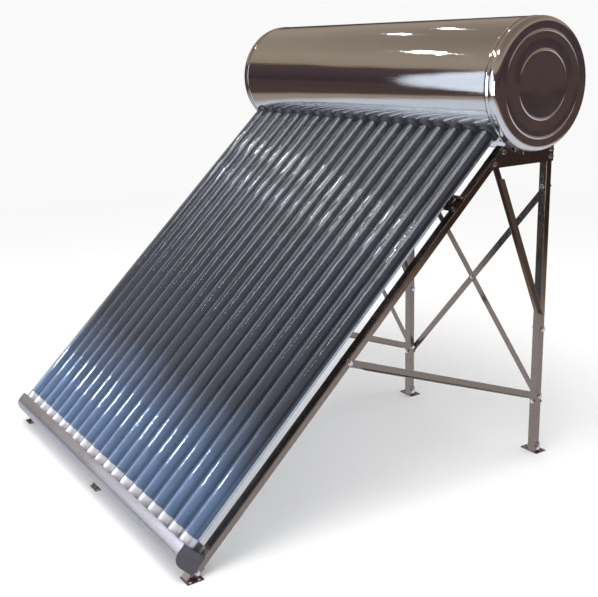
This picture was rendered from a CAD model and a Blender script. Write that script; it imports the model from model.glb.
"""Looks of a thermosyphon solar water heater: polished tank, glass tube row, steel stand.

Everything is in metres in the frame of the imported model.  The slope's own frame has
its origin on the tank's axis, X along the tank, Y behind the tubes and Z up the tubes.
"""

from __future__ import annotations

import logging
import math
from dataclasses import dataclass, field
from enum import Enum
from typing import Sequence

import bmesh
import bpy
from mathutils import Matrix, Vector

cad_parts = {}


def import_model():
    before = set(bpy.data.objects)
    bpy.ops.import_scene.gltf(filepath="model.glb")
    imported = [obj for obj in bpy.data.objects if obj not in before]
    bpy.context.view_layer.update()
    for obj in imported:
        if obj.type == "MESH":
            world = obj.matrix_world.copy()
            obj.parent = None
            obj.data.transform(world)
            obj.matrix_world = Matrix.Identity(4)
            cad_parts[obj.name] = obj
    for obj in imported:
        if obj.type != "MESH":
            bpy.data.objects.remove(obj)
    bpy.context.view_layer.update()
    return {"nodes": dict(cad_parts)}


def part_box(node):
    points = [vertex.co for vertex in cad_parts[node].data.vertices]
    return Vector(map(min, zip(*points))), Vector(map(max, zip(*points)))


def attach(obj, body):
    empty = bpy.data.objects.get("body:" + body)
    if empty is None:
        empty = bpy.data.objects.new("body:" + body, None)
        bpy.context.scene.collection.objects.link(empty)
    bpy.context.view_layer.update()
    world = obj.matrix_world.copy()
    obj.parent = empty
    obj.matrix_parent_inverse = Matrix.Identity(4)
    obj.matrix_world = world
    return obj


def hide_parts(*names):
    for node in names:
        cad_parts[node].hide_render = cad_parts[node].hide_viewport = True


LOG = logging.getLogger("heater")
Colour = tuple[float, float, float]
Point = tuple[float, float]
Ring = tuple[float, float]
Stops = tuple[tuple[float, Colour], ...]
ROOT = "root"

# Closer than this, two heights or two radii count as the same, in metres.
TOUCH = 1e-6
# Sockets of a Mix node that mixes colours, which share their names with others.
MIX_A, MIX_B, MIX_RESULT = 6, 7, 2
# Solidify's offset that lays the thickness on the inner side of the face.
INWARD = -1.0


# --------------------------------------------------------------------------- modelling


class Pole(Enum):
    """How a turned piece ends."""

    OPEN = "open"
    CLOSED = "closed"


class Bench:
    """Modelling steps shared by all pieces, each done with Blender's own operators."""

    @staticmethod
    def clear_selection() -> None:
        """Leave edit mode and deselect every object."""
        if bpy.context.object and bpy.context.object.mode != "OBJECT":
            bpy.ops.object.mode_set(mode="OBJECT")
        bpy.ops.object.select_all(action="DESELECT")

    @classmethod
    def turn(
        cls,
        name: str,
        rings: Sequence[Ring],
        sides: int,
        start: Pole = Pole.OPEN,
        end: Pole = Pole.OPEN,
    ) -> bpy.types.Object:
        """Turn a piece about Z by extruding and scaling one circle along its profile.

        Args:
            name: the piece's name.
            rings: (radius, height) of each ring in order, in metres.
            sides: how many sides the circle has.
            start: whether the first ring is closed.
            end: whether the last ring is closed to a point.

        Returns:
            The new object, in edit-free object mode.
        """
        cls.clear_selection()
        radius, height = rings[0]
        fill = "TRIFAN" if start is Pole.CLOSED else "NOTHING"
        bpy.ops.mesh.primitive_circle_add(
            vertices=sides, radius=radius, fill_type=fill, location=(0, 0, 0)
        )
        piece = bpy.context.object
        piece.name = name
        bpy.ops.object.mode_set(mode="EDIT")
        cls.select_rim(piece, height=0.0)
        bpy.ops.mesh.select_mode(type="VERT")
        bpy.ops.object.mode_set(mode="OBJECT")
        piece.data.transform(Matrix.Translation((0, 0, height)))
        bpy.ops.object.mode_set(mode="EDIT")
        for next_radius, next_height in rings[1:]:
            bpy.ops.mesh.extrude_edges_move(
                TRANSFORM_OT_translate={"value": (0, 0, next_height - height)}
            )
            factor = next_radius / radius
            bpy.ops.transform.resize(
                value=(factor, factor, 1.0), center_override=(0, 0, next_height)
            )
            radius, height = next_radius, next_height
        if end is Pole.CLOSED:
            bpy.ops.mesh.edge_face_add()
            bpy.ops.mesh.poke()
        bpy.ops.mesh.select_all(action="SELECT")
        bpy.ops.mesh.normals_make_consistent(inside=False)
        bpy.ops.object.mode_set(mode="OBJECT")
        return piece

    @staticmethod
    def select_rim(piece: bpy.types.Object, height: float) -> None:
        """Select the outer rim of a new circle, leaving any centre point unselected.

        Args:
            piece: the circle, in edit mode.
            height: the rim's height.
        """
        mesh = bmesh.from_edit_mesh(piece.data)
        for vertex in mesh.verts:
            vertex.select = False
        for edge in mesh.edges:
            on_rim = all(v.co.xy.length > TOUCH for v in edge.verts)
            edge.select = on_rim and abs(edge.verts[0].co.z - height) < TOUCH
        mesh.select_mode = {"EDGE"}
        mesh.select_flush_mode()
        bmesh.update_edit_mesh(piece.data)

    @classmethod
    def trace(cls, name: str, outline: Sequence[Point], x: float) -> bpy.types.Object:
        """Run a chain of edges through an outline by extruding one point along it.

        Args:
            name: the piece's name.
            outline: (Y, Z) of each point in order, in metres.
            x: where the outline lies.

        Returns:
            The chain as an object, in edit mode with all of it selected.
        """
        cls.clear_selection()
        bpy.ops.mesh.primitive_plane_add(size=0.01, location=(0, 0, 0))
        piece = bpy.context.object
        piece.name = name
        bpy.ops.object.mode_set(mode="EDIT")
        bpy.ops.mesh.merge(type="CENTER")
        y, z = outline[0]
        bpy.ops.transform.translate(value=(x, y, z))
        for next_y, next_z in outline[1:]:
            bpy.ops.mesh.extrude_vertices_move(
                TRANSFORM_OT_translate={"value": (0, next_y - y, next_z - z)}
            )
            y, z = next_y, next_z
        bpy.ops.mesh.select_all(action="SELECT")
        return piece

    @classmethod
    def fold(
        cls,
        name: str,
        outline: Sequence[Point],
        start: float,
        end: float,
        thickness: float,
    ) -> bpy.types.Object:
        """Fold a sheet: an outline of its bends, extruded along X and thickened.

        Args:
            name: the piece's name.
            outline: (Y, Z) of each bend in order, in metres.
            start: X of one end.
            end: X of the other end.
            thickness: the sheet's thickness.

        Returns:
            The folded sheet as an object.
        """
        piece = cls.trace(name, outline, start)
        bpy.ops.mesh.extrude_edges_move(
            TRANSFORM_OT_translate={"value": (end - start, 0, 0)}
        )
        bpy.ops.mesh.select_all(action="SELECT")
        bpy.ops.mesh.normals_make_consistent(inside=False)
        bpy.ops.object.mode_set(mode="OBJECT")
        cls.modify(
            piece, "SOLIDIFY", thickness=thickness, offset=INWARD, use_even_offset=True
        )
        return piece

    @classmethod
    def plate(
        cls, name: str, outline: Sequence[Point], x: float, depth: float
    ) -> bpy.types.Object:
        """Fill an outline, give it depth and sink its face inside a raised rim.

        Args:
            name: the piece's name.
            outline: (Y, Z) corner points in order.
            x: where the inner face lies.
            depth: thickness of the plate along X, with its sign.

        Returns:
            The plate as an object.
        """
        rim_width = 0.004
        sunk_share = 0.3
        piece = cls.trace(name, outline, x)
        bpy.ops.mesh.edge_face_add()
        bpy.ops.mesh.extrude_region_move(TRANSFORM_OT_translate={"value": (depth, 0, 0)})
        bpy.ops.mesh.inset(thickness=rim_width)
        bpy.ops.transform.translate(value=(-depth * sunk_share, 0, 0))
        bpy.ops.mesh.select_all(action="SELECT")
        bpy.ops.mesh.normals_make_consistent(inside=False)
        bpy.ops.object.mode_set(mode="OBJECT")
        return piece

    @staticmethod
    def modify(piece: bpy.types.Object, kind: str, **settings: object) -> None:
        """Add one modifier and apply it.

        Args:
            piece: the object to work on.
            kind: the modifier's type.
            **settings: its properties and their values.
        """
        bpy.context.view_layer.objects.active = piece
        modifier = piece.modifiers.new(kind.title(), kind)
        for key, value in settings.items():
            setattr(modifier, key, value)
        bpy.ops.object.modifier_apply(modifier=modifier.name)

    @classmethod
    def smooth(cls, piece: bpy.types.Object, degrees: float) -> None:
        """Shade a piece smooth, keeping the edges that turn by more than an angle.

        Args:
            piece: the object to shade.
            degrees: the angle above which an edge stays sharp.
        """
        cls.clear_selection()
        piece.select_set(True)
        bpy.context.view_layer.objects.active = piece
        bpy.ops.object.shade_smooth_by_angle(angle=math.radians(degrees))

    @staticmethod
    def copy(piece: bpy.types.Object, name: str, place: Matrix) -> bpy.types.Object:
        """Copy a piece with a mesh of its own.

        Args:
            piece: the object to copy.
            name: the copy's name.
            place: its place, worked into the mesh.

        Returns:
            The copy.
        """
        twin = piece.copy()
        twin.data = piece.data.copy()
        twin.name = name
        twin.data.name = name
        bpy.context.collection.objects.link(twin)
        twin.data.transform(place)
        return twin

    @staticmethod
    def arc(
        centre: Point, radius: float, start: float, end: float, steps: int
    ) -> list[Point]:
        """Points on an arc.

        Args:
            centre: the arc's centre.
            radius: its radius.
            start: angle of the first point, in degrees.
            end: angle of the last point, in degrees.
            steps: how many steps lie between them.

        Returns:
            The points in order.
        """
        points = []
        for step in range(steps + 1):
            angle = math.radians(start + (end - start) * step / steps)
            across, along = radius * math.cos(angle), radius * math.sin(angle)
            points.append((centre[0] + across, centre[1] + along))
        return points


# ----------------------------------------------------------------------------- finishes


class Graph:
    """A short way to add and link shader nodes."""

    def __init__(self, tree: bpy.types.NodeTree) -> None:
        """Work on the given node tree."""
        self.tree = tree

    def add(self, kind: str, **values: object) -> bpy.types.Node:
        """Add a node.

        Args:
            kind: the node's type.
            **values: its properties, and the values of its inputs with _ for a space.

        Returns:
            The node.
        """
        node = self.tree.nodes.new(kind)
        for key, value in values.items():
            if hasattr(node, key):
                setattr(node, key, value)
            else:
                node.inputs[key.replace("_", " ")].default_value = value
        return node

    def link(self, source: bpy.types.NodeSocket, target: bpy.types.NodeSocket) -> None:
        """Link one socket to another."""
        self.tree.links.new(source, target)

    def ramp(self, stops: Stops) -> bpy.types.Node:
        """Add a colour ramp.

        Args:
            stops: (position, colour) of each stop in order.

        Returns:
            The ramp's node.
        """
        node = self.add("ShaderNodeValToRGB")
        elements = node.color_ramp.elements
        for element, (position, colour) in zip(elements, (stops[0], stops[-1])):
            element.position, element.color = position, (*colour, 1.0)
        for position, colour in stops[1:-1]:
            elements.new(position).color = (*colour, 1.0)
        return node


class Shared:
    """Shader node groups used by several finishes, each built once."""

    @staticmethod
    def sheet_metal() -> bpy.types.NodeTree:
        """Rolled or polished sheet: streaks, smudges and a slightly uneven face.

        Returns:
            A group with inputs for colours, stretch and roughness, and outputs Colour,
            Roughness and Height.
        """
        name = "sheet_metal_surface"
        if name in bpy.data.node_groups:
            return bpy.data.node_groups[name]
        tree = bpy.data.node_groups.new(name, "ShaderNodeTree")
        face = tree.interface
        for label, way, kind in (
            ("Light", "INPUT", "Color"),
            ("Dark", "INPUT", "Color"),
            ("Stretch", "INPUT", "Vector"),
            ("Gloss", "INPUT", "Float"),
            ("Dull", "INPUT", "Float"),
            ("Colour", "OUTPUT", "Color"),
            ("Roughness", "OUTPUT", "Float"),
            ("Height", "OUTPUT", "Float"),
        ):
            face.new_socket(label, in_out=way, socket_type="NodeSocket" + kind)
        graph = Graph(tree)
        inlet = graph.add("NodeGroupInput")
        outlet = graph.add("NodeGroupOutput")
        place = graph.add("ShaderNodeTexCoord")
        mapping = graph.add("ShaderNodeMapping")
        graph.link(place.outputs["Object"], mapping.inputs["Vector"])
        graph.link(inlet.outputs["Stretch"], mapping.inputs["Scale"])
        streaks = graph.add("ShaderNodeTexNoise", Scale=1.0, Detail=6.0, Roughness=0.65)
        graph.link(mapping.outputs["Vector"], streaks.inputs["Vector"])
        smudges = graph.add("ShaderNodeTexNoise", Scale=7.0, Detail=4.0, Roughness=0.6)
        graph.link(place.outputs["Object"], smudges.inputs["Vector"])
        swell = graph.add("ShaderNodeTexNoise", Scale=2.6, Detail=1.0, Roughness=0.4)
        graph.link(place.outputs["Object"], swell.inputs["Vector"])
        tone = graph.add("ShaderNodeMix", data_type="RGBA")
        graph.link(streaks.outputs["Fac"], tone.inputs["Factor"])
        graph.link(inlet.outputs["Dark"], tone.inputs[MIX_A])
        graph.link(inlet.outputs["Light"], tone.inputs[MIX_B])
        worn = graph.add("ShaderNodeMath", operation="MULTIPLY")
        graph.link(smudges.outputs["Fac"], worn.inputs[0])
        graph.link(streaks.outputs["Fac"], worn.inputs[1])
        spread = graph.add("ShaderNodeMapRange", From_Min=0.1, From_Max=0.42)
        graph.link(worn.outputs["Value"], spread.inputs["Value"])
        graph.link(inlet.outputs["Gloss"], spread.inputs["To Min"])
        graph.link(inlet.outputs["Dull"], spread.inputs["To Max"])
        fine = graph.add("ShaderNodeMath", operation="MULTIPLY_ADD")
        streak_share = 0.03
        fine.inputs[1].default_value = streak_share
        graph.link(streaks.outputs["Fac"], fine.inputs[0])
        graph.link(swell.outputs["Fac"], fine.inputs[2])
        graph.link(tone.outputs[MIX_RESULT], outlet.inputs["Colour"])
        graph.link(spread.outputs["Result"], outlet.inputs["Roughness"])
        graph.link(fine.outputs["Value"], outlet.inputs["Height"])
        return tree


@dataclass(frozen=True)
class Metal:
    """A bare metal finish."""

    name: str
    slot: str
    light: Colour
    dark: Colour
    gloss: float
    dull: float
    stretch: tuple[float, float, float]
    wave: float
    metallic: float = 1.0

    def material(self) -> bpy.types.Material:
        """Build or fetch the material of this finish."""
        if self.name in bpy.data.materials:
            return bpy.data.materials[self.name]
        material, graph, shader = new_material(self.name)
        shader.inputs["Metallic"].default_value = self.metallic
        surface = graph.add("ShaderNodeGroup", node_tree=Shared.sheet_metal())
        surface.inputs["Light"].default_value = (*self.light, 1.0)
        surface.inputs["Dark"].default_value = (*self.dark, 1.0)
        surface.inputs["Stretch"].default_value = self.stretch
        surface.inputs["Gloss"].default_value = self.gloss
        surface.inputs["Dull"].default_value = self.dull
        bump = graph.add("ShaderNodeBump", Strength=1.0, Distance=self.wave)
        graph.link(surface.outputs["Colour"], shader.inputs["Base Color"])
        graph.link(surface.outputs["Roughness"], shader.inputs["Roughness"])
        graph.link(surface.outputs["Height"], bump.inputs["Height"])
        graph.link(bump.outputs["Normal"], shader.inputs["Normal"])
        return material


@dataclass(frozen=True)
class Moulded:
    """A moulded rubber, silicone, plastic or foam finish."""

    name: str
    slot: str
    base: Colour
    speck: Colour
    roughness: tuple[float, float]
    grain: float
    depth: float

    def material(self) -> bpy.types.Material:
        """Build or fetch the material of this finish."""
        if self.name in bpy.data.materials:
            return bpy.data.materials[self.name]
        material, graph, shader = new_material(self.name)
        place = graph.add("ShaderNodeTexCoord")
        grain = graph.add("ShaderNodeTexNoise", Scale=self.grain, Detail=5.0, Roughness=0.6)
        patches = graph.add("ShaderNodeTexNoise", Scale=self.grain / 12, Detail=3.0)
        tone = graph.add("ShaderNodeMix", data_type="RGBA")
        tone.inputs[MIX_A].default_value = (*self.base, 1.0)
        tone.inputs[MIX_B].default_value = (*self.speck, 1.0)
        sheen = graph.add(
            "ShaderNodeMapRange", To_Min=self.roughness[0], To_Max=self.roughness[1]
        )
        bump = graph.add("ShaderNodeBump", Strength=0.6, Distance=self.depth)
        graph.link(place.outputs["Object"], grain.inputs["Vector"])
        graph.link(place.outputs["Object"], patches.inputs["Vector"])
        graph.link(patches.outputs["Fac"], tone.inputs["Factor"])
        graph.link(grain.outputs["Fac"], sheen.inputs["Value"])
        graph.link(grain.outputs["Fac"], bump.inputs["Height"])
        graph.link(tone.outputs[MIX_RESULT], shader.inputs["Base Color"])
        graph.link(sheen.outputs["Result"], shader.inputs["Roughness"])
        graph.link(bump.outputs["Normal"], shader.inputs["Normal"])
        return material


def new_material(
    name: str,
) -> tuple[bpy.types.Material, Graph, bpy.types.Node]:
    """Make an empty node material.

    Args:
        name: the material's name.

    Returns:
        The material, a graph on its nodes, and its main shader.
    """
    material = bpy.data.materials.new(name)
    material.use_nodes = True
    graph = Graph(material.node_tree)
    shader = material.node_tree.nodes["Principled BSDF"]
    return material, graph, shader


@dataclass(frozen=True)
class ClearGlass:
    """The tubes' outer glass: clear, faintly dusty, with drawn-glass waviness."""

    name: str = "clear_tube_glass"
    slot: str = "tube_glass"
    tint: Colour = (0.93, 0.96, 1.0)

    def material(self) -> bpy.types.Material:
        """Build or fetch the glass."""
        if self.name in bpy.data.materials:
            return bpy.data.materials[self.name]
        material, graph, shader = new_material(self.name)
        shader.inputs["Base Color"].default_value = (*self.tint, 1.0)
        shader.inputs["Transmission Weight"].default_value = 1.0
        shader.inputs["IOR"].default_value = 1.47
        place = graph.add("ShaderNodeTexCoord")
        mapping = graph.add("ShaderNodeMapping", Scale=(12.0, 2.0, 2.0))
        dust = graph.add("ShaderNodeTexNoise", Scale=40.0, Detail=5.0)
        film = graph.add("ShaderNodeMapRange", From_Min=0.3, From_Max=0.7, To_Max=0.014)
        film.inputs["To Min"].default_value = 0.004
        drawn = graph.add("ShaderNodeTexNoise", Scale=1.0, Detail=2.0)
        bump = graph.add("ShaderNodeBump", Strength=0.01, Distance=0.00002)
        graph.link(place.outputs["Object"], dust.inputs["Vector"])
        graph.link(place.outputs["Object"], mapping.inputs["Vector"])
        graph.link(mapping.outputs["Vector"], drawn.inputs["Vector"])
        graph.link(dust.outputs["Fac"], film.inputs["Value"])
        graph.link(film.outputs["Result"], shader.inputs["Roughness"])
        graph.link(drawn.outputs["Fac"], bump.inputs["Height"])
        graph.link(bump.outputs["Normal"], shader.inputs["Normal"])
        return material


@dataclass(frozen=True)
class SelectiveCoat:
    """The absorber on the inner glass: dark charcoal, bluer towards the tail."""

    name: str = "selective_absorber"
    slot: str = "tube_glass"
    dark: Colour = (0.030, 0.033, 0.042)
    blue: Colour = (0.085, 0.135, 0.215)
    fade_top: float = 0.50
    fade_end: float = 0.28
    sway: float = 0.16

    def material(self) -> bpy.types.Material:
        """Build or fetch the coat."""
        if self.name in bpy.data.materials:
            return bpy.data.materials[self.name]
        material, graph, shader = new_material(self.name)
        shader.inputs["Specular IOR Level"].default_value = 0.12
        place = graph.add("ShaderNodeTexCoord")
        split = graph.add("ShaderNodeSeparateXYZ")
        mapping = graph.add("ShaderNodeMapping", Scale=(9.0, 5.0, 5.0))
        cloud = graph.add("ShaderNodeTexNoise", Scale=1.0, Detail=3.0, Roughness=0.5)
        sway = graph.add("ShaderNodeMath", operation="MULTIPLY_ADD")
        sway.inputs[1].default_value = self.sway
        fade = graph.add("ShaderNodeMapRange")
        fade.inputs["From Min"].default_value = self.fade_top
        fade.inputs["From Max"].default_value = self.fade_end
        tone = graph.add("ShaderNodeMix", data_type="RGBA")
        tone.inputs[MIX_A].default_value = (*self.dark, 1.0)
        tone.inputs[MIX_B].default_value = (*self.blue, 1.0)
        sheen = graph.add("ShaderNodeMapRange", To_Min=0.38, To_Max=0.50)
        graph.link(place.outputs["Object"], split.inputs["Vector"])
        graph.link(place.outputs["Object"], mapping.inputs["Vector"])
        graph.link(mapping.outputs["Vector"], cloud.inputs["Vector"])
        graph.link(cloud.outputs["Fac"], sway.inputs[0])
        graph.link(split.outputs["Z"], sway.inputs[2])
        graph.link(sway.outputs["Value"], fade.inputs["Value"])
        graph.link(fade.outputs["Result"], tone.inputs["Factor"])
        graph.link(cloud.outputs["Fac"], sheen.inputs["Value"])
        graph.link(tone.outputs[MIX_RESULT], shader.inputs["Base Color"])
        graph.link(sheen.outputs["Result"], shader.inputs["Roughness"])
        return material


STREAKS_X = (4.0, 260.0, 260.0)
POLISHED = Metal(
    "mirror_steel", "polished_steel", (0.80, 0.78, 0.76), (0.68, 0.66, 0.64),
    0.025, 0.09, STREAKS_X, 0.004,
)
CAP_STEEL = Metal(
    "pressed_mirror_steel", "polished_steel", (0.84, 0.79, 0.76), (0.70, 0.65, 0.63),
    0.05, 0.18, (40.0, 40.0, 40.0), 0.002,
)
SATIN = Metal(
    "satin_tray_steel", "satin_steel", (0.52, 0.49, 0.49), (0.39, 0.365, 0.375),
    0.24, 0.38, STREAKS_X, 0.001, 0.8,
)
PROFILE = Metal(
    "rolled_profile_steel", "frame_steel", (0.37, 0.295, 0.24), (0.23, 0.178, 0.145),
    0.08, 0.20, (60.0, 60.0, 60.0), 0.001,
)
PLATE = Metal(
    "plate_steel", "frame_steel", (0.36, 0.29, 0.27), (0.22, 0.17, 0.16),
    0.14, 0.32, (90.0, 90.0, 90.0), 0.001,
)
INNER = Metal(
    "welded_tank_steel", "inner_steel", (0.66, 0.66, 0.65), (0.5, 0.5, 0.5),
    0.2, 0.4, STREAKS_X, 0.001,
)
BRIGHT = Metal(
    "bright_fastener_steel", "bolt_steel", (0.86, 0.85, 0.84), (0.7, 0.69, 0.68),
    0.10, 0.25, (300.0, 300.0, 300.0), 0.0005,
)
GETTER = Metal(
    "getter_mirror", "tube_glass", (0.95, 0.93, 0.93), (0.80, 0.76, 0.77),
    0.08, 0.25, (70.0, 70.0, 70.0), 0.002, 0.55,
)
RUBBER = Moulded(
    "black_dust_rubber", "black_rubber", (0.008, 0.009, 0.016), (0.016, 0.018, 0.028),
    (0.35, 0.55), 700.0, 0.0003,
)
SILICONE = Moulded(
    "white_silicone", "silicone", (0.78, 0.77, 0.74), (0.7, 0.68, 0.64),
    (0.4, 0.6), 500.0, 0.0003,
)
DARK_PLASTIC = Moulded(
    "dark_grey_plastic", "dark_plastic", (0.045, 0.043, 0.05), (0.075, 0.07, 0.08),
    (0.35, 0.55), 900.0, 0.0004,
)
FOAM = Moulded(
    "rigid_foam", "foam", (0.72, 0.62, 0.36), (0.6, 0.5, 0.28),
    (0.8, 0.95), 350.0, 0.0015,
)
GLASS = ClearGlass()
ABSORBER = SelectiveCoat()
Finish = Metal | Moulded | ClearGlass | SelectiveCoat


def dress(piece: bpy.types.Object, finish: Finish) -> None:
    """Give a piece one finish, in place of any it has.

    Args:
        piece: the object to dress.
        finish: the finish that it gets.
    """
    material = finish.material()
    if piece.data.materials:
        for index in range(len(piece.data.materials)):
            piece.data.materials[index] = material
    else:
        piece.data.materials.append(material)


# ------------------------------------------------------------------------ sub-assemblies


@dataclass
class Slope:
    """The frame of the tube row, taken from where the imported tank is."""

    tilt: float = math.radians(43.0)
    centre: Vector = field(default_factory=Vector)

    def __post_init__(self) -> None:
        """Read the tank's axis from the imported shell."""
        low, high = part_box("tank_shell")
        self.centre = Vector((0.0, (low[1] + high[1]) / 2, (low[2] + high[2]) / 2))

    def matrix(self, x: float = 0.0, behind: float = 0.0, down: float = 0.0) -> Matrix:
        """Place of a point on the slope, with Z up the tubes.

        Args:
            x: distance along the tank from its middle.
            behind: distance behind the tubes' plane.
            down: distance down the slope from the tank's axis.

        Returns:
            The matrix that takes a piece from the origin to there.
        """
        turn = Matrix.Rotation(self.tilt - math.pi / 2, 4, "X")
        step = Matrix.Translation((x, behind, -down))
        return Matrix.Translation(self.centre) @ turn @ step


@dataclass
class Tank:
    """The polished shell and its two pressed end caps."""

    slope: Slope
    radius: float = 0.220
    half: float = 0.797
    cap_depth: float = 0.035
    rim: float = 0.022
    lap: float = 0.0006
    rings: tuple[float, float] = (0.1125, 0.174)
    ring_rise: float = 0.0022
    ring_width: float = 0.0048
    sheet: float = 0.001
    edge: float = 0.0012
    bead_in: float = 0.010
    bead_rise: float = 0.0012
    bead_step: float = 0.0016
    bead_sink: float = 0.0002
    hold_in: float = 0.0090
    dimple: float = 0.02
    sharp: float = 40.0
    sides: int = 224

    def build(self) -> list[bpy.types.Object]:
        """Build and dress the shell and both caps."""
        return [self.shell(), self.cap("end_cap_right", 1), self.cap("end_cap_left", -1)]

    def along_x(self, side: int = 1) -> Matrix:
        """Place of a piece turned about Z, laid along the tank.

        Args:
            side: 1 towards the right end, -1 towards the left one.

        Returns:
            The matrix that takes the piece there.
        """
        turn = Matrix.Rotation(side * math.pi / 2, 4, "Y")
        return Matrix.Translation(self.slope.centre) @ turn

    def shell(self) -> bpy.types.Object:
        """The rolled shell, with a low bead near each seam.

        Two close rings inside each bead keep its slope out of the long wall between.

        Returns:
            The finished piece.
        """
        seam = self.half - self.cap_depth
        bead = seam - self.bead_in
        hold = bead - self.hold_in
        wall = self.radius - self.bead_sink
        rings = [(self.radius - self.lap, -seam), (self.radius, -seam + self.edge)]
        for side in (-1, 1):
            for step in (-2, -1, 0, 1, 2):
                swell = self.bead_rise * math.cos(step * math.pi / 4)
                rings.append((wall + swell, side * bead + step * self.bead_step))
            rings += [(wall, side * hold), (wall, side * 0.99 * hold)]
        rings += [(self.radius, seam - self.edge), (self.radius - self.lap, seam)]
        rings.sort(key=lambda ring: ring[1])
        piece = Bench.turn("shell_skin", rings, self.sides)
        piece.data.transform(self.along_x())
        Bench.modify(piece, "SOLIDIFY", thickness=self.sheet, offset=INWARD)
        Bench.smooth(piece, self.sharp)
        dress(piece, POLISHED)
        return finish_piece(piece, ROOT, "tank_shell")

    def cap(self, node: str, side: int) -> bpy.types.Object:
        """A pressed end cap: skirt, rounded rim and two raised rings on its face.

        Args:
            node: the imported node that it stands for.
            side: 1 for the right end, -1 for the left one.

        Returns:
            The finished piece.
        """
        seam = self.half - self.cap_depth
        flat = self.half
        rings = [(self.radius - 0.0004, seam), (self.radius - 0.0001, seam + self.edge)]
        corner = (self.radius - self.rim, flat - self.rim)
        rings += Bench.arc(corner, self.rim, 0, 90, 12)
        for ring in sorted(self.rings, reverse=True):
            rings += self.raised_ring(ring, flat)
        rings.append((self.dimple, flat))
        piece = Bench.turn(node + "_skin", rings, self.sides, end=Pole.CLOSED)
        piece.data.transform(self.along_x(side))
        Bench.modify(piece, "SOLIDIFY", thickness=self.sheet, offset=INWARD)
        Bench.smooth(piece, self.sharp)
        dress(piece, CAP_STEEL)
        return finish_piece(piece, ROOT, node)

    def raised_ring(self, radius: float, flat: float) -> list[Ring]:
        """Profile of one raised ring, from its outer foot to its inner foot.

        Args:
            radius: the radius of its crest.
            flat: the height of the face it stands on.

        Returns:
            The profile's rings.
        """
        rings = []
        for step in range(9):
            across = 1 - step / 4
            lift = self.ring_rise * 0.5 * (1 + math.cos(across * math.pi))
            rings.append((radius + across * self.ring_width, flat + lift))
        return rings


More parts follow.
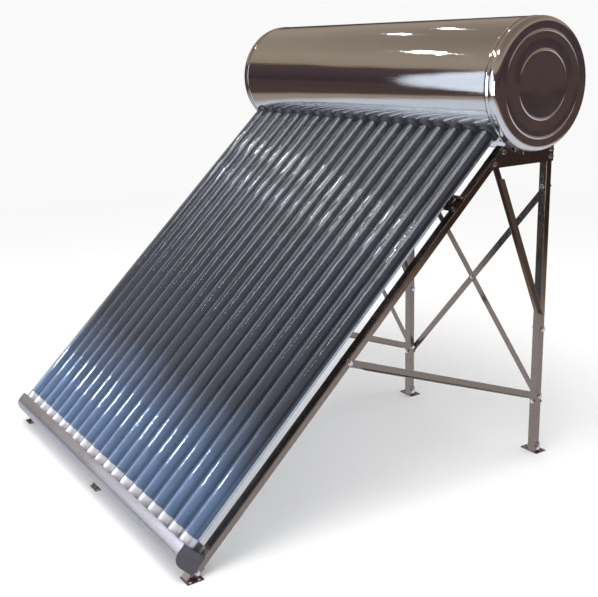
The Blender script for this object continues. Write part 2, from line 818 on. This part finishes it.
@dataclass
class TubeRow:
    """Twenty evacuated tubes, each with outer glass, absorber, tip mirror and clip."""

    slope: Slope
    count: int = 20
    pitch: float = 0.075
    start: float = 0.095
    glass_r: float = 0.029
    glass_wall: float = 0.0018
    absorber_r: float = 0.0235
    hemi_len: float = 1.792
    tip_r: float = 0.005
    gap_end: float = 0.022
    film_top: float = 0.062
    film_hold: float = 0.055
    film_gap: float = 0.0003
    film_wall: float = 0.0002
    absorber_wall: float = 0.0016
    mouth_in: float = 0.0022
    clip_wall: float = 0.0003
    sharp: float = 50.0
    sides: int = 48

    def build(self) -> list[bpy.types.Object]:
        """Model one tube, then copy it along the row.

        Returns:
            Every piece of every tube.
        """
        models = [self.glass(), self.absorber(), self.mirror(), self.clip()]
        names = ("glass", "absorber", "mirror", "clip")
        finishes = (GLASS, ABSORBER, GETTER, BRIGHT)
        pieces = []
        for k in range(1, self.count + 1):
            x = (k - (self.count + 1) / 2) * self.pitch
            place = self.slope.matrix(x=x, down=self.start)
            for model, name, finish in zip(models, names, finishes):
                piece = Bench.copy(model, f"tube_{k:02d}_{name}", place)
                dress(piece, finish)
                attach(piece, f"glass_tube_{k:02d}")
                if name == "glass":
                    piece.visible_shadow = False
                    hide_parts(f"tube_{k:02d}")
                pieces.append(piece)
        for model in models:
            bpy.data.objects.remove(model)
        return pieces

    @staticmethod
    def straight(radius: float, bottom: float) -> list[Ring]:
        """Rings of the straight wall, held close to both ends so it mirrors true.

        Args:
            radius: the wall's radius.
            bottom: height at which its round end begins.

        Returns:
            The rings, from the mouth down.
        """
        heights = (-0.010, -0.014, -0.6, -1.2, bottom + 0.012, bottom + 0.006)
        return [(radius, height) for height in heights]

    def round_end(self, radius: float, bottom: float, steps: int) -> list[Ring]:
        """Rings of a half-round end, from its widest ring to just short of its pole.

        Args:
            radius: the end's radius.
            bottom: the height of its pole.
            steps: how many steps it has.

        Returns:
            The rings in order.
        """
        points = Bench.arc((0.0, bottom + radius), radius, 0, -86, steps)
        return [(max(r, 0.0015), z) for r, z in points]

    def glass(self) -> bpy.types.Object:
        """The outer glass: a thin shell with a sealed tip, turned in at the mouth.

        Returns:
            The model that each tube's glass is copied from.
        """
        end = -self.hemi_len
        outer = [(self.glass_r - self.mouth_in, 0.0), (self.glass_r - 0.0006, -0.0008)]
        outer += [(self.glass_r, -0.003), *self.straight(self.glass_r, end + self.glass_r)]
        outer += [p for p in self.round_end(self.glass_r, end, 9) if p[0] > self.tip_r]
        outer += [(self.tip_r * 0.9, end - 0.0005), (self.tip_r * 0.7, end - 0.004)]
        outer += [(self.tip_r * 0.4, end - 0.0068), (0.0008, end - 0.008)]
        piece = Bench.turn("glass_model", outer, self.sides, end=Pole.CLOSED)
        Bench.modify(piece, "SOLIDIFY", thickness=self.glass_wall, offset=INWARD)
        Bench.smooth(piece, self.sharp)
        return piece

    def absorber(self) -> bpy.types.Object:
        """The coated inner glass, fused to the outer at the mouth, round at the tail.

        Returns:
            The model that each tube's absorber is copied from.
        """
        end = -self.hemi_len + self.gap_end
        rings = [(self.glass_r - self.mouth_in, -0.0004), (self.absorber_r, -0.006)]
        rings += self.straight(self.absorber_r, end + self.absorber_r)
        rings += self.round_end(self.absorber_r, end, 8)
        piece = Bench.turn("absorber_model", rings, self.sides, end=Pole.CLOSED)
        Bench.modify(piece, "SOLIDIFY", thickness=self.absorber_wall, offset=INWARD)
        Bench.smooth(piece, self.sharp)
        return piece

    def mirror(self) -> bpy.types.Object:
        """The silvery getter film on the inside of the outer glass, round the tail.

        Returns:
            The model that each tube's mirror is copied from.
        """
        radius = self.glass_r - self.glass_wall - self.film_gap
        bottom = self.glass_wall + self.film_gap - self.hemi_len
        rings = [(radius, z - self.hemi_len) for z in (self.film_top, self.film_hold)]
        rings += [p for p in self.round_end(radius, bottom, 8) if p[0] > self.tip_r]
        piece = Bench.turn("mirror_model", rings, self.sides)
        Bench.modify(piece, "SOLIDIFY", thickness=self.film_wall, offset=INWARD)
        Bench.smooth(piece, self.sharp)
        return piece

    def clip(self) -> bpy.types.Object:
        """The sprung steel clip that centres the absorber's tail.

        Returns:
            The model that each tube's clip is copied from.
        """
        low = -self.hemi_len + self.gap_end + self.absorber_r
        edge, band = self.absorber_r + 0.0004, self.absorber_r + 0.0008
        rings = [(edge, low + 0.013), (band, low + 0.011), (band, low + 0.002), (edge, low)]
        piece = Bench.turn("clip_model", rings, self.sides)
        Bench.modify(piece, "SOLIDIFY", thickness=self.clip_wall, offset=INWARD)
        Bench.smooth(piece, self.sharp)
        return piece


@dataclass
class TailTray:
    """The folded tray that holds the tubes' tails, with its end plates."""

    slope: Slope
    half: float = 0.750
    front: float = -0.0335
    back: float = 0.060
    top: float = 1.852
    corner: float = 0.038
    bottom: float = 1.917
    wall_up: float = 0.022
    sheet: float = 0.0015
    lip: float = 0.004
    plate_depth: float = 0.0025
    sharp: float = 35.0

    def build(self) -> list[bpy.types.Object]:
        """Build and dress the tray and both end plates."""
        ends = (("tray_end_right", 1), ("tray_end_left", -1))
        return [self.tray(), *(self.end_plate(node, side) for node, side in ends)]

    def outline(self) -> list[Point]:
        """The tray's section, from its hemmed front edge round to the back wall.

        Returns:
            (behind, up the tubes) of each bend.
        """
        centre = (self.front + self.corner, -self.bottom + self.corner)
        points = [(self.front + self.lip, -self.top - 0.003)]
        points.append((self.front + 0.0005, -self.top - 0.0005))
        points.append((self.front, -self.top - 0.002))
        points += Bench.arc(centre, self.corner, 180, 270, 14)
        points += [(self.back - 0.003, -self.bottom), (self.back, -self.bottom + 0.003)]
        points += [(self.back, -self.top + self.wall_up)]
        return points

    def tray(self) -> bpy.types.Object:
        """The tray itself, one folded sheet with a hemmed front edge.

        Returns:
            The finished piece.
        """
        ends = (-self.half, self.half)
        piece = Bench.fold("tray_sheet", self.outline(), *ends, self.sheet)
        piece.data.transform(self.slope.matrix())
        Bench.smooth(piece, self.sharp)
        dress(piece, SATIN)
        return finish_piece(piece, ROOT, "tail_tray")

    def end_plate(self, node: str, side: int) -> bpy.types.Object:
        """A moulded end plate: the tray's outline filled, with a raised rim.

        Args:
            node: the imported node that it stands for.
            side: 1 for the right end, -1 for the left one.

        Returns:
            The finished piece.
        """
        outline = self.outline()[2:-1] + [(self.back, -self.top - 0.0005)]
        name = node + "_plate"
        piece = Bench.plate(name, outline, side * self.half, side * self.plate_depth)
        piece.data.transform(self.slope.matrix())
        Bench.smooth(piece, self.sharp)
        dress(piece, DARK_PLASTIC)
        return finish_piece(piece, ROOT, node)


def finish_piece(
    piece: bpy.types.Object, body: str, node: str
) -> bpy.types.Object:
    """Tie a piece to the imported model.

    Args:
        piece: the finished piece.
        body: the body that it rides on.
        node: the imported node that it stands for.

    Returns:
        The same piece.
    """
    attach(piece, body)
    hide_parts(node)
    return piece


@dataclass
class Stand:
    """Rails, legs, braces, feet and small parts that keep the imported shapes."""

    finishes: dict[str, Finish] = field(
        default_factory=lambda: {
            "rail_": PROFILE, "leg_": PROFILE, "tie_": PROFILE, "brace_": PROFILE,
            "rear_brace_": PROFILE, "cross_bar": PROFILE, "cradle_": PLATE, "foot_": PLATE,
            "frame_bolts": BRIGHT, "frame_nuts": BRIGHT, "dust_rings": RUBBER,
            "tube_seals": SILICONE, "tail_cups": DARK_PLASTIC, "pipe_stubs": INNER,
            "water_tank": INNER, "tank_insulation": FOAM,
        }
    )

    def build(self, nodes: dict[str, bpy.types.Object]) -> list[bpy.types.Object]:
        """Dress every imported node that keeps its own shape.

        Args:
            nodes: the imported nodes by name.

        Returns:
            The nodes that were dressed.
        """
        dressed = []
        for prefix, finish in self.finishes.items():
            for name, node in nodes.items():
                if name.startswith(prefix):
                    dress(node, finish)
                    dressed.append(node)
        return dressed


# --------------------------------------------------------------------------------- room


# What polished metal sees: the room from straight below to straight above, and the
# floor from under the object out to its edge.
ROOM_TONES: Stops = (
    (0.0, (0.05, 0.035, 0.04)),
    (0.16, (0.07, 0.05, 0.06)),
    (0.27, (0.09, 0.06, 0.055)),
    (0.31, (0.34, 0.28, 0.22)),
    (0.45, (0.36, 0.31, 0.25)),
    (0.75, (0.24, 0.19, 0.155)),
    (1.0, (0.2, 0.16, 0.13)),
)
FLOOR_TONES: Stops = (
    (0.0, (0.72, 0.78, 0.9)),
    (0.29, (0.62, 0.68, 0.8)),
    (0.33, (0.37, 0.31, 0.26)),
    (0.40, (0.35, 0.29, 0.25)),
    (0.46, (0.085, 0.06, 0.056)),
    (1.0, (0.075, 0.052, 0.05)),
)


@dataclass(frozen=True)
class Lamp:
    """One area lamp: where it hangs, the point it faces, and its light in watts."""

    name: str
    place: tuple[float, float, float]
    aim: tuple[float, float, float]
    size: float
    power: float
    colour: Colour

    def hang(self) -> bpy.types.Object:
        """Make the lamp.

        Returns:
            The lamp, a square panel until its shape is changed.
        """
        data = bpy.data.lights.new(self.name, "AREA")
        data.size = self.size
        data.energy = self.power
        data.color = self.colour
        lamp = bpy.data.objects.new(self.name, data)
        toward = Vector(self.aim) - Vector(self.place)
        turn = toward.to_track_quat("-Z", "Y").to_matrix().to_4x4()
        lamp.matrix_world = Matrix.Translation(Vector(self.place)) @ turn
        bpy.context.collection.objects.link(lamp)
        return lamp


COOL = (0.9, 0.96, 1.0)
OVERHEAD = Lamp(
    "overhead", (0.8, -1.2, 5.0), (0.0, 0.0, 0.6), 3.0, 150.0, (1.0, 0.99, 0.97)
)
FRONT = Lamp("front", (2.6, -4.6, 0.9), (0.6, 0.5, 1.2), 2.0, 45.0, (0.96, 0.98, 1.0))
# Round lamps that only make glints on metal and glass.
GLINTS = (
    Lamp("front_left", (-0.5, -4.6, 1.2), (0.0, 0.4, 1.2), 3.0, 85.0, (0.80, 0.88, 1.0)),
    Lamp("window", (-1.45, -2.5, 1.6), (0.3, 0.4, 1.4), 2.2, 13.0, (0.74, 0.85, 1.0)),
    Lamp("row_spot", (-1.5, -2.67, 2.42), (-0.2, -0.6, 0.3), 0.24, 40.0, (0.62, 0.70, 1.0)),
    Lamp("top_spot_a", (-0.85, -0.75, 3.2), (0.0, 0.2, 1.0), 0.16, 9.0, COOL),
    Lamp("top_spot_b", (-1.75, -0.62, 3.1), (0.0, 0.2, 1.0), 0.09, 2.5, COOL),
    Lamp("top_spot_c", (-0.4, -1.15, 3.4), (0.0, 0.2, 1.0), 0.16, 8.0, COOL),
    Lamp("roof_spot_a", (-2.5, 1.0, 3.7), (0.3, 0.6, 1.5), 0.06, 0.7, (0.9, 0.88, 1.0)),
    Lamp("roof_spot_b", (-2.1, 1.5, 3.7), (0.3, 0.6, 1.5), 0.06, 0.7, (0.9, 0.88, 1.0)),
)


@dataclass
class Studio:
    """Pale floor, soft light and the camera."""

    eye: tuple[float, float, float] = (2.946, -2.382, 1.539)
    yaw: float = 0.9944
    pitch: float = 0.2755
    roll: float = -0.0294
    lens: float = 55.376187
    sensor: float = 36.0
    white: float = 0.95
    floor_radius: float = 40.0
    tones_per_metre: float = 0.1
    haze_start: float = 2.0
    haze_end: float = 7.0

    def build(self, slope: Slope) -> None:
        """Make the world, floor, lamps and camera."""
        self.world()
        self.floor()
        self.lamps()
        self.camera(slope)
        bpy.context.scene.view_settings.view_transform = "Standard"

    def camera(self, slope: Slope) -> None:
        """Place the camera, its position given from the foot of the tank's axis.

        Args:
            slope: where the tank's axis is.
        """
        forward = Vector(
            (
                -math.sin(self.yaw) * math.cos(self.pitch),
                math.cos(self.yaw) * math.cos(self.pitch),
                -math.sin(self.pitch),
            )
        )
        right = Vector((math.cos(self.yaw), math.sin(self.yaw), 0.0))
        up = right.cross(forward)
        side = right * math.cos(self.roll) + up * math.sin(self.roll)
        top = up * math.cos(self.roll) - right * math.sin(self.roll)
        data = bpy.data.cameras.new("camera")
        data.sensor_width = self.sensor
        data.lens = self.lens
        camera = bpy.data.objects.new("camera", data)
        turn = Matrix((side, top, -forward)).transposed().to_4x4()
        place = Vector(self.eye) + Vector((0.0, slope.centre.y, 0.0))
        camera.matrix_world = Matrix.Translation(place) @ turn
        bpy.context.collection.objects.link(camera)
        bpy.context.scene.camera = camera

    def world(self) -> None:
        """White to the eye and for soft light; a room's tones in reflections."""
        world = bpy.data.worlds.new("studio")
        bpy.context.scene.world = world
        world.use_nodes = True
        graph = Graph(world.node_tree)
        light = world.node_tree.nodes["Background"]
        light.inputs["Color"].default_value = (1.0, 1.0, 1.0, 1.0)
        light.inputs["Strength"].default_value = self.white
        place = graph.add("ShaderNodeTexCoord")
        split = graph.add("ShaderNodeSeparateXYZ")
        ramp = graph.ramp(ROOM_TONES)
        room = graph.add("ShaderNodeBackground", Strength=1.0)
        path = graph.add("ShaderNodeLightPath")
        mix = graph.add("ShaderNodeMixShader")
        graph.link(place.outputs["Generated"], split.inputs["Vector"])
        graph.link(split.outputs["Z"], ramp.inputs["Fac"])
        graph.link(ramp.outputs["Color"], room.inputs["Color"])
        graph.link(path.outputs["Is Glossy Ray"], mix.inputs["Fac"])
        graph.link(light.outputs["Background"], mix.inputs[1])
        graph.link(room.outputs["Background"], mix.inputs[2])
        output = world.node_tree.nodes["World Output"]
        graph.link(mix.outputs["Shader"], output.inputs["Surface"])

    def floor(self) -> None:
        """A wide pale floor; polished metal sees it darken with distance."""
        Bench.clear_selection()
        bpy.ops.mesh.primitive_circle_add(
            vertices=96, radius=self.floor_radius, fill_type="NGON"
        )
        floor = bpy.context.object
        floor.name = "floor"
        material, graph, shader = new_material("pale_floor")
        shader.inputs["Base Color"].default_value = (0.9, 0.9, 0.9, 1.0)
        shader.inputs["Roughness"].default_value = 0.9
        shader.inputs["Specular IOR Level"].default_value = 0.1
        place = graph.add("ShaderNodeTexCoord")
        distance = graph.add("ShaderNodeVectorMath", operation="LENGTH")
        ramp = graph.ramp(FLOOR_TONES)
        reach = graph.add("ShaderNodeMath", operation="MULTIPLY")
        reach.inputs[1].default_value = self.tones_per_metre
        glow = graph.add("ShaderNodeEmission", Strength=1.0)
        haze = graph.add("ShaderNodeEmission", Strength=self.white)
        fade = graph.add(
            "ShaderNodeMapRange", From_Min=self.haze_start, From_Max=self.haze_end
        )
        pale = graph.add("ShaderNodeMixShader")
        graph.link(distance.outputs["Value"], fade.inputs["Value"])
        graph.link(fade.outputs["Result"], pale.inputs["Fac"])
        graph.link(shader.outputs["BSDF"], pale.inputs[1])
        graph.link(haze.outputs["Emission"], pale.inputs[2])
        path = graph.add("ShaderNodeLightPath")
        mix = graph.add("ShaderNodeMixShader")
        graph.link(place.outputs["Object"], distance.inputs[0])
        graph.link(distance.outputs["Value"], reach.inputs[0])
        graph.link(reach.outputs["Value"], ramp.inputs["Fac"])
        graph.link(ramp.outputs["Color"], glow.inputs["Color"])
        graph.link(path.outputs["Is Glossy Ray"], mix.inputs["Fac"])
        graph.link(pale.outputs["Shader"], mix.inputs[1])
        graph.link(glow.outputs["Emission"], mix.inputs[2])
        output = material.node_tree.nodes["Material Output"]
        graph.link(mix.outputs["Shader"], output.inputs["Surface"])
        floor.data.materials.append(material)

    @staticmethod
    def lamps() -> None:
        """Hang the softbox, kept out of reflections, the front panel and the glints."""
        OVERHEAD.hang().visible_glossy = False
        FRONT.hang()
        for glint in GLINTS:
            lamp = glint.hang()
            lamp.data.shape = "DISK"
            lamp.visible_diffuse = False


def main() -> None:
    """Build the looks in order and report each piece."""
    logging.basicConfig(level=logging.INFO, format="%(name)s: %(message)s")
    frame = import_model()
    slope = Slope()
    for assembly in (Tank(slope), TubeRow(slope), TailTray(slope)):
        for piece in assembly.build():
            LOG.info("built %s", piece.name)
    for piece in Stand().build(frame["nodes"]):
        LOG.info("dressed %s", piece.name)
    Studio().build(slope)


if __name__ == "__main__":
    main()
